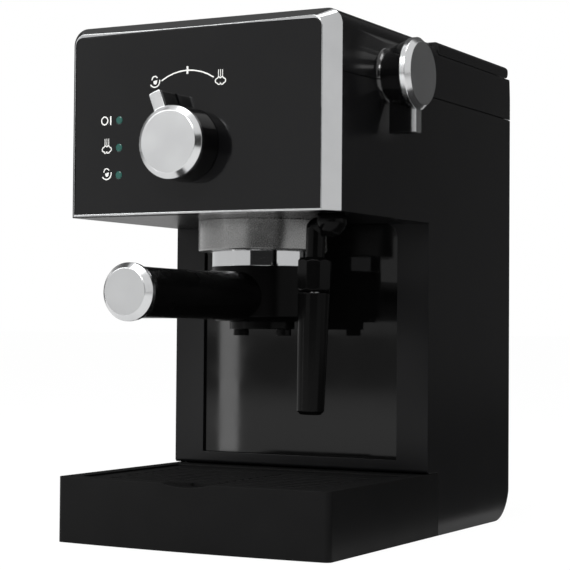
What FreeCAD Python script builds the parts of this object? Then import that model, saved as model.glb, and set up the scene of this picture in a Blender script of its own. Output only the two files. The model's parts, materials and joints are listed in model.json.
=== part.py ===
"""Compact home espresso machine with a pump, a small boiler and a steam wand.

Lengths are in millimetres. +Z is up, the front faces -Y and +X is to the right of someone who
faces the machine. The origin is on the table top, on the casing's middle plane and halfway
between the front of the drip tray and the back of the casing.
"""
import FreeCAD, Part
import Sketcher
import math
import operator
import os
from types import SimpleNamespace

SIZES = {
    # casing
    "body_width": 175,
    "body_depth": 265,
    "body_height": 297,
    "wall": 2.5,
    "head_height": 110,
    "head_depth": 116,
    "cover_height": 35,
    "cover_length": 129,
    "lid_height": 8,
    "rear_lean": 2,
    "top_round": 9.5,
    "lid_round": 2.5,
    "rear_round": 1.2,
    "heel_round": 25,
    "pillar_round": 3,
    "apron_round": 2,
    "reveal": 0.6,
    "lip_height": 5,
    "lip_thick": 2.2,
    # clearances
    "seam": 0.5,
    "slip": 0.35,
    "fit_gap": 0.15,
    "running": 0.05,
    "seal_gap": 0.3,
    # base and feet
    "foot_height": 4,
    "foot_radius": 9,
    "foot_taper": 1,
    "foot_inset": 23.5,
    "foot_front": 30.5,
    "foot_rear": 40.5,
    "base_thick": 4,
    "tongue_inset": 9.5,
    "tongue_gap": 12,
    "post_width": 9,
    "post_reach": 13.5,
    "post_height": 14,
    "post_front": 92.5,
    "post_rear": 44.5,
    "screw_radius": 1.75,
    "screw_head": 3.2,
    "screw_head_height": 1.6,
    "screw_bite": 10,
    # front frame and control panel
    "bezel_depth": 13,
    "bezel_side": 8,
    "bezel_top": 7,
    "bezel_sill": 1.2,
    "bezel_line": 0.5,
    "bezel_corner": 4.5,
    "front_bow": 4,
    "panel_thick": 3,
    "panel_inset": 0.4,
    # glossy panel behind the cups
    "splash_width": 134,
    "splash_foot": 46,
    "splash_depth": 4,
    "splash_thick": 2,
    "splash_corner": 8,
    "plate_thick": 3,
    # drip tray and its grate
    "tray_height": 38,
    "tray_tuck": 15.5,
    "tray_lift": 0.6,
    "tray_corner": 3.5,
    "tray_skin": 2.5,
    "tray_rim": 9.5,
    "tray_ledge": 2.5,
    "tray_floor": 2,
    "tray_back_rim": 12,
    "well_corner": 5,
    "dip_radius": 60,
    "dip_depth": 2,
    "grate_thick": 3,
    "grate_sink": 1,
    "slot_width": 4.6,
    "slot_pitch": 9,
    "slot_length": 60,
    "slot_gap": 12,
    "grate_border": 12,
    "scoop_radius": 11,
    # selector on the front
    "selector_x": -2.5,
    "selector_rise": 38,
    "selector_turn": 21,
    "knob_radius": 20,
    "knob_base": 20.8,
    "knob_height": 14,
    "cap_radius": 20.2,
    "cap_height": 5,
    "cap_bevel": 2.5,
    "cap_face": 17.2,
    "lever_reach": 30,
    "lever_width": 7.2,
    "lever_corner": 0.8,
    "shaft_radius": 3,
    "shaft_bite": 10,
    "switch_width": 22,
    "switch_depth": 16,
    "switch_neck": 8,
    "switch_neck_length": 5,
    # lights
    "light_x": -48,
    "light_rise": 38.5,
    "light_step": 15.6,
    "light_radius": 2.2,
    "light_proud": 0.5,
    "board_thick": 1.6,
    "board_width": 26,
    "board_height": 54,
    "board_shift": 5,
    "board_gap": 6,
    "boss_radius": 3,
    "boss_inset": 5,
    # steam knob on the right side
    "steam_behind": 50.5,
    "steam_rise": 79,
    "flare_radius": 44,
    "flare_neck": 14.2,
    "flare_height": 5.2,
    "flare_blend": 2.5,
    "steam_base": 14.5,
    "steam_height": 13.65,
    "steam_cap_height": 5.8,
    "steam_cap_bevel": 2.8,
    "steam_cap_face": 17.6,
    "steam_reach": 33,
    "stem_radius": 4,
    "stem_length": 64,
    "stem_bite": 10,
    "valve_width": 20,
    "valve_length": 50,
    "valve_height": 30,
    "valve_overlap": 16,
    # boiler and brew group
    "group_ahead": 45,
    "ring_radius": 38.2,
    "ring_height": 18,
    "ring_bevel": 0.7,
    "ring_neck": 33.5,
    "ring_flange": 4,
    "lip_radius": 31.2,
    "lip_depth": 4,
    "groove_radius": 35,
    "groove_height": 5,
    "outlet_radius": 25.7,
    "gasket_thick": 4,
    "boss_drop": 7,
    "boiler_radius": 36,
    "boiler_inner": 30,
    "boiler_foot": 8,
    "flange_radius": 44,
    "flange_thick": 7,
    "clamp_thick": 5,
    "boiler_height": 44,
    "boiler_crown": 3,
    "bolt_circle": 40.3,
    "bolt_radius": 2.5,
    "bolt_head": 3.6,
    "bolt_head_height": 4,
    "element_radius": 3.5,
    "element_rise": 11,
    "element_pin": 8,
    "thermostat_radius": 7,
    "thermostat_height": 6,
    "screen_radius": 25.2,
    "screen_thick": 1.1,
    "shower_screw_head": 4,
    "shower_screw_radius": 2,
    "shower_head_height": 1.5,
    # filter holder
    "bowl_radius": 30.5,
    "bowl_ring": 22.8,
    "bowl_bore": 27.5,
    "bowl_skirt": 28,
    "bowl_floor": 3,
    "bowl_outlet": 4,
    "lug_reach": 34,
    "lug_width": 14,
    "lug_thick": 4,
    "unlock_turn": 50,
    "basket_flange": 30,
    "basket_lip": 1,
    "basket_wall": 0.8,
    "basket_depth": 30.7,
    "collar_radius": 30.3,
    "collar_height": 31.9,
    "collar_floor": 5,
    "collar_bevel": 2.5,
    "handle_drop": 44.7,
    "handle_root": 14.3,
    "handle_tip": 13.8,
    "handle_flare": 15.2,
    "handle_waist": 2200,
    "handle_straight": 36,
    "handle_long": 136,
    "handle_length": 141.5,
    "end_radius": 15.4,
    "end_face": 12.5,
    "end_band": 2.8,
    "end_length": 6.1,
    "stud_radius": 3,
    "stud_length": 52,
    "spout_radius": 19.2,
    "spout_thick": 4.7,
    "spout_neck": 9,
    "spout_spread": 14.3,
    "nozzle_radius": 4.6,
    "nozzle_bore": 2.8,
    "nozzle_length": 3.8,
    # steam wand
    "ball_inset": 17.1,
    "ball_behind": 22,
    "ball_drop": 4,
    "ball_radius": 8.5,
    "neck_radius": 6,
    "elbow_drop": 7.7,
    "knuckle_across": 9.5,
    "knuckle_ahead": 1,
    "knuckle_drop": 19.5,
    "knuckle_radius": 5.3,
    "knuckle_length": 4.5,
    "wand_tilt": 1.5,
    "grip_radius": 9.7,
    "grip_length": 19,
    "grip_bevel": 2,
    "tube_radius": 3,
    "tube_end": 12,
    "sleeve_top": 8.9,
    "sleeve_tip": 7.7,
    "sleeve_length": 67,
    "sleeve_nose": 2,
    "sleeve_hole": 2,
    "sleeve_floor": 8,
    "socket_width": 24,
    "socket_height": 8,
    # water tank and lid hinge
    "tank_width": 148,
    "tank_gap": 21,
    "tank_behind": 9.5,
    "tank_depth": 103,
    "tank_wall": 2,
    "tank_corner": 8,
    "tank_height": 99,
    "opening_width": 156,
    "opening_gap": 4,
    "hinge_gap": 0.5,
    "ear_x": 58,
    "ear_width": 6,
    "ear_radius": 3,
    "ear_root": 8,
    "pin_radius": 1.5,
    "pin_length": 24,
    "seat_thick": 4,
    "seat_lead": 4,
    "valve_x": 40,
    "valve_behind": 52,
    "valve_radius": 6,
    "valve_flange": 9,
    "valve_flange_thick": 3,
    "valve_drop": 7,
    "socket_bore": 7,
    "socket_wall": 3,
    "socket_depth": 12,
    "spigot_radius": 4,
    "spigot_length": 7,
    # pump and pipes
    "pump_x": -28,
    "pump_over": 4,
    "pump_radius": 13,
    "pump_length": 70,
    "coil_width": 40,
    "coil_size": 44,
    "mount_width": 8,
    "mount_spread": 24,
    "hose_radius": 5,
    "hose_bore": 3,
    "hose_bend": 22,
    "pipe_radius": 2.5,
    "pipe_bend": 8,
    "pipe_inset": 8,
    "pipe_gap": 3,
    "feed_rise": 30,
    "steam_drop": 22,
    # electrics at the back
    "control_width": 90,
    "control_height": 60,
    "control_foot": 90,
    "control_gap": 3.5,
    "rocker_x": 50,
    "rocker_z": 80,
    "rocker_width": 13.8,
    "rocker_radius": 13.2,
    "rocker_depth": 8.5,
    "rocker_fall": 1.2,
    "rocker_rise": 2.9,
    "rocker_heel": 4,
    "trunnion_radius": 1.5,
    "trunnion_length": 1.4,
    "frame_wall": 1.8,
    "frame_depth": 19,
    "frame_flange": 1.5,
    "gland_x": -50,
    "gland_z": 60,
    "gland_neck": 7,
    "gland_flange": 9.5,
    "gland_proud": 3,
    "gland_nut": 4,
    "gland_bore": 3.6,
}

SIGNS = {"+": operator.add, "-": operator.sub, "*": operator.mul, "/": operator.truediv}

UPRIGHT = FreeCAD.Rotation()
TO_RIGHT = FreeCAD.Rotation(FreeCAD.Vector(0, 1, 0), 90)
TO_FRONT = FreeCAD.Rotation(FreeCAD.Vector(1, 0, 0), 90)
TO_BACK = FreeCAD.Rotation(FreeCAD.Vector(1, 0, 0), -90)
SIDE_PROFILE = FreeCAD.Rotation(FreeCAD.Vector(1, 1, 1), 120)
LEVER_DOWN = TO_RIGHT * FreeCAD.Rotation(FreeCAD.Vector(0, 0, 1), -90)


class Size:
    """A length worked out from the sheet: its expression, and its value as the sheet stands."""

    def __init__(self, text, value):
        self.text = text
        self.value = value

    def __add__(self, other):
        return joined(self, "+", other)

    def __radd__(self, other):
        return joined(other, "+", self)

    def __sub__(self, other):
        return joined(self, "-", other)

    def __rsub__(self, other):
        return joined(other, "-", self)

    def __mul__(self, other):
        return joined(self, "*", other)

    def __rmul__(self, other):
        return joined(other, "*", self)

    def __truediv__(self, other):
        return joined(self, "/", other)

    def __neg__(self):
        return joined(0, "-", self)


def as_size(length):
    """A plain number as a Size, so that both can be used alike."""
    if isinstance(length, Size):
        return length
    return Size(f"({length!r})", length)


def joined(first, sign, second):
    """Two lengths put together by one sign."""
    first = as_size(first)
    second = as_size(second)
    return Size(f"({first.text} {sign} {second.text})", SIGNS[sign](first.value, second.value))


def root(length):
    """Square root of a worked-out length."""
    return Size(f"sqrt({length.text})", math.sqrt(length.value))


def span(middle, width):
    """The two ends of a width about its middle."""
    return middle - width / 2, middle + width / 2


doc = FreeCAD.newDocument("espresso_machine")
sheet = doc.addObject("Spreadsheet::Sheet", "Sizes")
for row, (name, value) in enumerate(SIZES.items(), start=1):
    sheet.set(f"A{row}", name)
    sheet.set(f"B{row}", str(value))
    sheet.setAlias(f"B{row}", name)
doc.recompute()
S = SimpleNamespace(**{name: Size(f"Sizes.{name}", value) for name, value in SIZES.items()})

# levels and planes that several pieces share
half = S.body_width / 2
inside = half - S.wall
rear = S.body_depth / 2
inside_back = rear - S.wall
top = S.body_height
head_floor = top - S.head_height
cover_seam = top - S.cover_height
lid_seam = top - S.lid_height
tank_back = rear - S.tank_behind
tank_front = tank_back - S.tank_depth
column_front = tank_front - S.tank_gap
splash_face = column_front + S.splash_depth
column_inside = splash_face + S.wall
head_front = column_front - S.head_depth
panel_front = head_front - S.bezel_depth
step_y = head_front + S.cover_length
tray_front = -rear
tray_top = S.tray_height
tray_back = column_front + S.tray_tuck
notch_y = tray_back + S.seam
notch_z = tray_top + S.seam
base_top = S.foot_height + S.base_thick
base_back = rear - S.heel_round
plate_top = head_floor + S.plate_thick
selector_z = head_floor + S.selector_rise
light_mid = head_floor + S.light_rise
steam_y = head_front + S.steam_behind
steam_z = head_floor + S.steam_rise
group_y = column_front - S.group_ahead
handle_z = head_floor - S.handle_drop
hinge_y = tank_back + S.hinge_gap
opening_front = tank_front - S.opening_gap
opening_back = hinge_y + S.ear_radius + S.seam
valve_y = tank_front + S.valve_behind
pipe_x = S.pipe_inset - inside
pipe_y = column_inside + S.pipe_gap + S.pipe_radius
frame_width = S.rocker_width + 2 * S.slip + 2 * S.frame_wall
frame_height = 2 * (S.rocker_radius + S.slip + S.frame_wall)
bow_radius = (half * half + S.front_bow * S.front_bow) / (2 * S.front_bow)


def put(item, x, y, z, turn=None):
    """Turn an item and place it, with its position tied to the sheet."""
    if turn is not None:
        item.Placement = FreeCAD.Placement(FreeCAD.Vector(), turn)
    for name, length in zip("xyz", (x, y, z)):
        item.setExpression(f"Placement.Base.{name}", as_size(length).text)
    return item


def primitive(kind, at, turn, **lengths):
    """One of the basic solids, with its sizes and place tied to the sheet."""
    item = doc.addObject(f"Part::{kind}", kind)
    for name, length in lengths.items():
        item.setExpression(name, as_size(length).text)
    return put(item, *at, turn)


def box(x, y, z):
    """Block between a low and a high value on each axis."""
    at = (x[0], y[0], z[0])
    return primitive("Box", at, None, Length=x[1] - x[0], Width=y[1] - y[0], Height=z[1] - z[0])


def cylinder(radius, at, length, turn=None):
    """Round bar that starts at a point and runs along the turned Z axis."""
    return primitive("Cylinder", at, turn, Radius=radius, Height=length)


def cone(low, high, at, length, turn=None):
    """Tapered round bar."""
    return primitive("Cone", at, turn, Radius1=low, Radius2=high, Height=length)


def ball(radius, at):
    """Sphere about a point."""
    return primitive("Sphere", at, None, Radius=radius)


def fuse(*pieces):
    """Several shapes joined into one."""
    item = doc.addObject("Part::MultiFuse", "Fuse")
    item.Shapes = list(pieces)
    return item


def cut(base, *tools):
    """A shape with others taken out of it."""
    item = doc.addObject("Part::Cut", "Cut")
    item.Base = base
    item.Tool = tools[0] if len(tools) == 1 else fuse(*tools)
    return item


def common(*pieces):
    """What several shapes share."""
    item = doc.addObject("Part::MultiCommon", "Common")
    item.Shapes = list(pieces)
    return item


def group(*pieces):
    """Like pieces kept as separate solids in one sub-part."""
    item = doc.addObject("Part::Compound", "Group")
    item.Links = list(pieces)
    return item


def origin_plane(body, role):
    """One of a body's own base planes."""
    return next(item for item in body.Origin.OriginFeatures if item.Role == role)


def arc_edge(start, end, radius, hollow):
    """Arc between two points: bulging out of an anticlockwise outline, or hollowed into it."""
    chord = end - start
    middle = start + chord * 0.5
    away = math.sqrt(max(radius * radius - chord.Length * chord.Length / 4, 0))
    left = FreeCAD.Vector(-chord.y, chord.x, 0).normalize()
    centre = middle - left * away if hollow else middle + left * away
    first, last = (end, start) if hollow else (start, end)
    low = math.atan2(first.y - centre.y, first.x - centre.x)
    high = math.atan2(last.y - centre.y, last.x - centre.x)
    if high < low:
        high += 2 * math.pi
    return Part.ArcOfCircle(Part.Circle(centre, FreeCAD.Vector(0, 0, 1), radius), low, high)


def draw(body, role, outline):
    """Closed sketch on one of the body's planes, anticlockwise, tied to the sheet.

    A point is (u, v), or (u, v, radius) where an arc that bulges outwards runs to the next point,
    or (u, v, radius, "hollow") where that arc bends inwards.
    """
    sketch = body.newObject("Sketcher::SketchObject", "Sketch")
    sketch.AttachmentSupport = (origin_plane(body, role), [""])
    sketch.MapMode = "FlatFace"
    corners = [(as_size(point[0]), as_size(point[1])) for point in outline]
    spots = [FreeCAD.Vector(u.value, v.value, 0) for u, v in corners]
    ends = []
    for index, point in enumerate(outline):
        start = spots[index]
        end = spots[(index + 1) % len(spots)]
        hollow = len(point) == 4
        if len(point) > 2:
            edge = sketch.addGeometry(arc_edge(start, end, as_size(point[2]).value, hollow))
            tie(sketch, Sketcher.Constraint("Radius", edge, as_size(point[2]).value), point[2])
        else:
            edge = sketch.addGeometry(Part.LineSegment(start, end))
        ends.append((edge, 2, 1) if hollow else (edge, 1, 2))
    for index, (edge, start, _) in enumerate(ends):
        before, _, end = ends[index - 1]
        sketch.addConstraint(Sketcher.Constraint("Coincident", before, end, edge, start))
        for name, length in zip(("DistanceX", "DistanceY"), corners[index]):
            tie(sketch, Sketcher.Constraint(name, edge, start, length.value), length)
    return sketch


def tie(sketch, constraint, length):
    """Add a dimension to a sketch and tie it to the sheet."""
    index = sketch.addConstraint(constraint)
    sketch.setExpression(f"Constraints[{index}]", as_size(length).text)


def revolve(outline, at, turn=None):
    """Turned piece about its own Z axis, from (radius, height) points."""
    body = doc.addObject("PartDesign::Body", "Turned")
    sketch = draw(body, "XZ_Plane", outline)
    feature = body.newObject("PartDesign::Revolution", "Revolution")
    feature.Profile = sketch
    feature.ReferenceAxis = (sketch, ["V_Axis"])
    feature.Angle = 360
    body.Tip = feature
    return put(body, *at, turn)


def extrude(outline, low, high, facing="up"):
    """Flat outline pulled out between two planes: (x, y) up, (y, z) to the right or (x, z) forward."""
    turn = {"up": UPRIGHT, "right": SIDE_PROFILE, "front": TO_FRONT}[facing]
    at = {"up": (0, 0, low), "right": (low, 0, 0), "front": (0, high, 0)}[facing]
    body = doc.addObject("PartDesign::Body", "Pulled")
    pad = body.newObject("PartDesign::Pad", "Pad")
    pad.Profile = draw(body, "XY_Plane", outline)
    pad.setExpression("Length", as_size(high - low).text)
    body.Tip = pad
    return put(body, *at, turn)


def round_corners(body, radius, *corners):
    """Round the edges of an extruded body that stand on the given corners of its outline."""
    doc.recompute()
    base = body.Tip
    spots = [(as_size(u).value, as_size(v).value) for u, v in corners]
    names = []
    for index, edge in enumerate(base.Shape.Edges, start=1):
        ends = [vertex.Point for vertex in edge.Vertexes]
        for u, v in spots:
            if all(abs(end.x - u) < 1e-4 and abs(end.y - v) < 1e-4 for end in ends):
                names.append(f"Edge{index}")
    feature = body.newObject("PartDesign::Fillet", "Fillet")
    feature.Base = (base, names)
    feature.setExpression("Radius", as_size(radius).text)
    body.Tip = feature
    return body


def rounded(x, y, radius, corners="all"):
    """Rectangle outline, anticlockwise from its lower left corner, with rounded corners."""
    left, right = x
    low, high = y
    outline = []
    if corners == "all":
        outline += [(left, low + radius, radius), (left + radius, low)]
        outline += [(right - radius, low, radius), (right, low + radius)]
    else:
        outline += [(left, low), (right, low)]
    outline += [(right, high - radius, radius), (right - radius, high)]
    outline += [(left + radius, high, radius), (left, high - radius)]
    return outline


def pipe(route, radius, bend, bore=None):
    """Round pipe along straight runs joined by tangent bends, hollow where it has a bore."""
    spots = [FreeCAD.Vector(*[as_size(value).value for value in point]) for point in route]
    edges = []
    start = spots[0]
    for before, corner, after in zip(spots, spots[1:], spots[2:]):
        back = (before - corner).normalize()
        ahead = (after - corner).normalize()
        half_angle = back.getAngle(ahead) / 2
        reach = bend.value / math.tan(half_angle)
        inward = (back + ahead).normalize()
        crown = corner + inward * (bend.value / math.sin(half_angle) - bend.value)
        edges.append(Part.LineSegment(start, corner + back * reach).toShape())
        edges.append(Part.Arc(corner + back * reach, crown, corner + ahead * reach).toShape())
        start = corner + ahead * reach
    edges.append(Part.LineSegment(start, spots[-1]).toShape())
    path = Part.Wire(edges)
    solids = []
    for size in (radius, bore):
        if size is not None:
            ring = Part.Circle(spots[0], spots[1] - spots[0], size.value).toShape()
            solids.append(path.makePipeShell([Part.Wire(ring)], True, False))
    item = doc.addObject("Part::Feature", "Pipe")
    item.Shape = solids[0] if bore is None else solids[0].cut(solids[1])
    return item


# casing

def side_block(outline, width, edge):
    """Casing block with the given side outline, rounded along its top edges and its back corners."""
    profile = extrude(outline, -width / 2, width / 2, "right")
    sides = (-width / 2, width / 2)
    crown = extrude(rounded(sides, (0, top), edge, "top"), -2 * rear, 2 * rear, "front")
    plan = extrude(rounded(sides, (-2 * rear, rear), S.rear_round, "back"), 0, top)
    return common(profile, crown, plan)


def flare():
    """Trumpet-shaped boss that carries the steam knob, trimmed towards the casing's top edge."""
    spread = S.flare_radius - S.flare_neck - S.flare_blend
    tall = S.flare_height
    sweep = (spread * spread + tall * tall - S.flare_blend * S.flare_blend) / (2 * (tall - S.flare_blend))
    share = S.flare_blend / (sweep - S.flare_blend)
    meet_r = S.flare_neck + S.flare_blend - share * spread
    meet_h = tall - share * (sweep - tall)
    outline = [(0, -S.wall / 2), (S.flare_radius, -S.wall / 2), (S.flare_radius, 0, sweep, "hollow")]
    outline += [(meet_r, meet_h, S.flare_blend, "hollow"), (S.flare_neck, tall), (0, tall)]
    trumpet = revolve(outline, (half, steam_y, steam_z), TO_RIGHT)
    shoulder = top - S.top_round
    crest = steam_z + S.flare_neck + S.seam
    trim = [(inside, 0), (half + tall, 0), (half + tall, crest), (half, shoulder), (inside, shoulder)]
    return common(trumpet, extrude(trim, -2 * rear, 2 * rear, "front"))


def stem_hole():
    """Way for the steam valve's stem through the casing's right side."""
    radius = S.stem_radius + S.slip * 2
    start = inside - 3 * S.wall
    return cylinder(radius, (start, steam_y, steam_z), 4 * S.wall + S.flare_height, TO_RIGHT)


def post_spots():
    """Where the screws hold the base plate to the casing."""
    x = inside - S.post_reach + S.post_width / 2
    return [(side * x, y) for side in (-1, 1) for y in (rear - S.post_front, rear - S.post_rear)]


def control_spots():
    """Corners of the control board, where its bosses stand."""
    x = S.control_width / 2 - S.boss_inset
    low = S.control_foot + S.boss_inset
    high = S.control_foot + S.control_height - S.boss_inset
    return [(side * x, z) for side in (-1, 1) for z in (low, high)]


def main_housing():
    """Head sides and rear column in one shell, open above, below and at the front of the head."""
    outline = [(notch_y, S.tray_lift), (base_back, S.tray_lift, S.heel_round)]
    outline += [(rear, S.tray_lift + S.heel_round), (rear, cover_seam), (head_front, cover_seam)]
    outline += [(head_front, head_floor), (column_front, head_floor)]
    outline += [(column_front, notch_z + S.apron_round, S.apron_round)]
    outline += [(column_front + S.apron_round, notch_z), (notch_y, notch_z)]
    shell = side_block(outline, S.body_width, S.top_round)
    inner_heel = S.heel_round - S.wall
    hollow = [(notch_y + S.wall, 0), (base_back, 0), (base_back, S.tray_lift + S.wall, inner_heel)]
    hollow += [(rear - S.wall, S.tray_lift + S.heel_round), (rear - S.wall, top), (2 * head_front, top)]
    hollow += [(2 * head_front, head_floor), (column_inside, head_floor)]
    hollow += [(column_inside, notch_z + S.wall), (notch_y + S.wall, notch_z + S.wall)]
    room = extrude(hollow, -inside, inside, "right")
    under = box((-inside, inside), (0, base_back), (0, base_top))
    recess_x = span(0, S.splash_width + 2 * S.fit_gap)
    recess = rounded(recess_x, (S.splash_foot - S.fit_gap, head_floor), S.splash_corner, "top")
    splash = extrude(recess, 2 * head_front, splash_face, "front")
    shell = cut(shell, room, under, splash)
    posts = []
    for x, y in post_spots():
        reach = (inside - S.post_reach, inside) if x.value > 0 else (-inside, S.post_reach - inside)
        posts.append(box(reach, span(y, S.post_width), (base_top, base_top + S.post_height)))
    bosses = []
    for x, z in control_spots():
        bosses.append(cylinder(S.boss_radius, (x, column_inside, z), S.control_gap, TO_BACK))
    below = box((0, 2 * half), (-rear, rear), (0, cover_seam))
    whole = fuse(shell, *posts, *bosses, common(flare(), below))
    holes = [cylinder(S.screw_radius, (x, y, base_top), S.screw_bite) for x, y in post_spots()]
    behind = inside_back - S.wall
    window = box(span(S.rocker_x, frame_width), (behind, 2 * rear), span(S.rocker_z, frame_height))
    gland = cylinder(S.gland_neck, (S.gland_x, behind, S.gland_z), 3 * S.wall, TO_BACK)
    return cut(whole, stem_hole(), window, gland, *holes)


def top_cover():
    """Upper casing: the closed deck over the head and the rim round the tank's opening."""
    foot = cover_seam + S.reveal
    rear_top = rear - S.rear_lean
    outline = [(head_front, foot), (rear, foot), (rear_top, lid_seam), (step_y, lid_seam)]
    outline += [(step_y, top), (head_front, top)]
    shell = side_block(outline, S.body_width, S.top_round)
    hollow = [(2 * head_front, 0), (rear - S.wall, 0), (rear - S.wall, foot)]
    hollow += [(rear_top - S.wall, lid_seam - S.wall), (step_y - S.wall, lid_seam - S.wall)]
    hollow += [(step_y - S.wall, top - S.wall), (2 * head_front, top - S.wall)]
    room = extrude(hollow, -inside, inside, "right")
    mouth = box(span(0, S.opening_width), (opening_front, opening_back), (cover_seam, top))
    lips = []
    for x in ((-inside, S.lip_thick - inside), (inside - S.lip_thick, inside)):
        lips.append(box(x, (head_front, opening_back), (cover_seam - S.lip_height, foot + S.wall)))
    above = box((0, 2 * half), (-rear, rear), (foot, top))
    return cut(fuse(cut(shell, room, mouth), *lips, common(flare(), above)), stem_hole())


def front_bezel():
    """Bright frame round the control panel, with broad bevels at the sides and along the top."""
    opening_edge = half - S.bezel_side
    edge_depth = S.bezel_depth - S.front_bow * opening_edge * opening_edge / (half * half)
    far = S.bezel_depth + S.front_bow
    narrow = (S.bezel_side - S.bezel_line) * far / edge_depth
    lower = (S.bezel_top - S.bezel_line) * far / S.bezel_depth
    body = doc.addObject("PartDesign::Body", "Frame")
    back = draw(body, "XY_Plane", rounded((-half, half), (0, top), S.top_round))
    front_x = (narrow - half, half - narrow)
    front = draw(body, "XY_Plane", rounded(front_x, (0, top - lower), S.bezel_corner))
    front.setExpression("AttachmentOffset.Base.z", far.text)
    loft = body.newObject("PartDesign::AdditiveLoft", "Loft")
    loft.Profile = back
    loft.Sections = [front]
    loft.Ruled = True
    body.Tip = loft
    put(body, 0, head_front, 0, TO_FRONT)
    bow = cylinder(bow_radius, (0, panel_front + bow_radius, head_floor), S.head_height)
    return cut(common(body, bow), panel_block(S.fit_gap, 2 * panel_front, head_front))


def panel_block(gap, low, high):
    """Block with the control panel's outline, widened by a gap."""
    x = span(0, S.body_width - 2 * S.bezel_side + 2 * gap)
    z = (head_floor + S.bezel_sill - gap, top - S.bezel_top + gap)
    return extrude(rounded(x, z, S.bezel_corner, "top"), low, high, "front")


def light_levels():
    """Heights of the three lights, from the top."""
    return [light_mid + S.light_step, light_mid, light_mid - S.light_step]


def panel_face(x):
    """Where the bowed front of the control panel lies at a distance from the middle."""
    return panel_front + S.panel_inset + x * x / (2 * bow_radius)


board_face = panel_front + S.panel_thick + S.board_gap
board_middle = S.light_x - S.board_shift


def control_panel():
    """Bowed gloss panel with the holes for the selector and the lights, and the board's bosses."""
    skin = bow_radius - S.panel_inset
    middle = (0, panel_front + bow_radius, head_floor)
    plate = common(panel_block(0, 2 * panel_front, 0), cylinder(skin, middle, S.head_height))
    plate = cut(plate, cylinder(skin - S.panel_thick, middle, S.head_height))
    bosses = []
    for z in span(light_mid, S.board_height - 2 * S.boss_inset):
        start = panel_face(board_middle) + S.panel_thick / 2
        bosses.append(cylinder(S.boss_radius, (board_middle, start, z), board_face - start, TO_BACK))
    ahead = 2 * panel_front
    holes = [cylinder(S.shaft_radius + S.slip * 2, (S.selector_x, ahead, selector_z), rear * 2, TO_BACK)]
    for z in light_levels():
        holes.append(cylinder(S.light_radius + S.running, (S.light_x, ahead, z), rear * 2, TO_BACK))
    return cut(fuse(plate, *bosses), *holes)


def head_underplate():
    """Plate that closes the head from below, round the brew group and the wand's ball."""
    plate = box((-inside, inside), (head_front, column_inside), (head_floor, plate_top))
    group_hole = cylinder(S.ring_neck + S.fit_gap, (0, group_y, 0), top)
    ball_hole = cylinder(S.ball_radius + S.slip, (ball_x, ball_y, 0), top)
    return cut(plate, group_hole, ball_hole)


def back_panel():
    """Gloss panel behind the cups, let into the front of the column."""
    z = (S.splash_foot, head_floor - S.fit_gap)
    outline = rounded(span(0, S.splash_width), z, S.splash_corner, "top")
    return extrude(outline, splash_face - S.splash_thick, splash_face, "front")


def base_plate():
    """Bottom plate with a long tongue under the drip tray."""
    tongue = half - S.tongue_inset
    front = tray_front + S.tongue_gap
    outline = [(-tongue, front), (tongue, front), (tongue, notch_y), (inside, notch_y)]
    outline += [(inside, base_back), (-inside, base_back), (-inside, notch_y), (-tongue, notch_y)]
    plate = extrude(outline, S.foot_height, base_top)
    holes = []
    for x, y in post_spots():
        holes.append(cylinder(S.screw_radius + S.fit_gap, (x, y, 0), 2 * base_top))
    return cut(plate, *holes)


def feet():
    """Four rubber feet."""
    rows = (tray_front + S.foot_front, rear - S.foot_rear)
    spots = [(side * (half - S.foot_inset), y) for side in (-1, 1) for y in rows]
    low = S.foot_radius - S.foot_taper
    return group(*[cone(low, S.foot_radius, (x, y, 0), S.foot_height) for x, y in spots])


def base_screws():
    """Four screws from below, through the base plate into the casing's posts."""
    screws = []
    for x, y in post_spots():
        reach = S.base_thick + S.screw_bite
        outline = [(0, -S.screw_head_height), (S.screw_head, -S.screw_head_height), (S.screw_head, 0)]
        outline += [(S.screw_radius, 0), (S.screw_radius, reach), (0, reach)]
        screws.append(revolve(outline, (x, y, S.foot_height)))
    return group(*screws)


# drip tray

def tray_plan(inset, back):
    """Tray outline drawn in by an inset, with its bowed front, back to a given depth."""
    side = half - inset
    radius = bow_radius - inset
    corner = tray_front + bow_radius - root(radius * radius - side * side)
    return [(-side, corner, radius), (side, corner), (side, back), (-side, back)]


def tray_block(inset, back, low, high, corner):
    """Block with the tray's outline, its front corners rounded."""
    outline = tray_plan(inset, back)
    return round_corners(extrude(outline, low, high), corner, outline[0][:2], outline[1][:2])


well_back = column_front - S.tray_back_rim


def drip_tray():
    """Moulded tray: skirt, rim with a finger dip, ledge for the grate and the well for drips."""
    deep = S.tray_rim + S.tray_ledge
    ledge = tray_top - S.grate_sink - S.grate_thick
    low = S.tray_lift
    outer = tray_block(0, tray_back, low, tray_top, S.tray_corner)
    room = tray_block(S.tray_skin, tray_back - S.tray_skin, 0, ledge - S.tray_skin, S.well_corner)
    shell = cut(outer, room)
    cup = tray_block(deep - S.tray_skin, well_back, base_top, tray_top - S.tray_skin, S.well_corner)
    well = tray_block(deep, well_back - S.tray_skin, base_top + S.tray_floor, 2 * tray_top, S.well_corner)
    pocket = tray_block(S.tray_rim, well_back, ledge, 2 * tray_top, S.well_corner)
    gate_half = half - S.tongue_inset + 2 * S.seam
    gate = box((-gate_half, gate_half), (column_front, 2 * rear), (0, base_top + S.seam))
    dip_at = (0, 2 * tray_front, tray_top + S.dip_radius - S.dip_depth)
    dip = cylinder(S.dip_radius, dip_at, S.tray_rim - tray_front, TO_BACK)
    return cut(cut(fuse(shell, cup), well, pocket, gate), dip)


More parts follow.
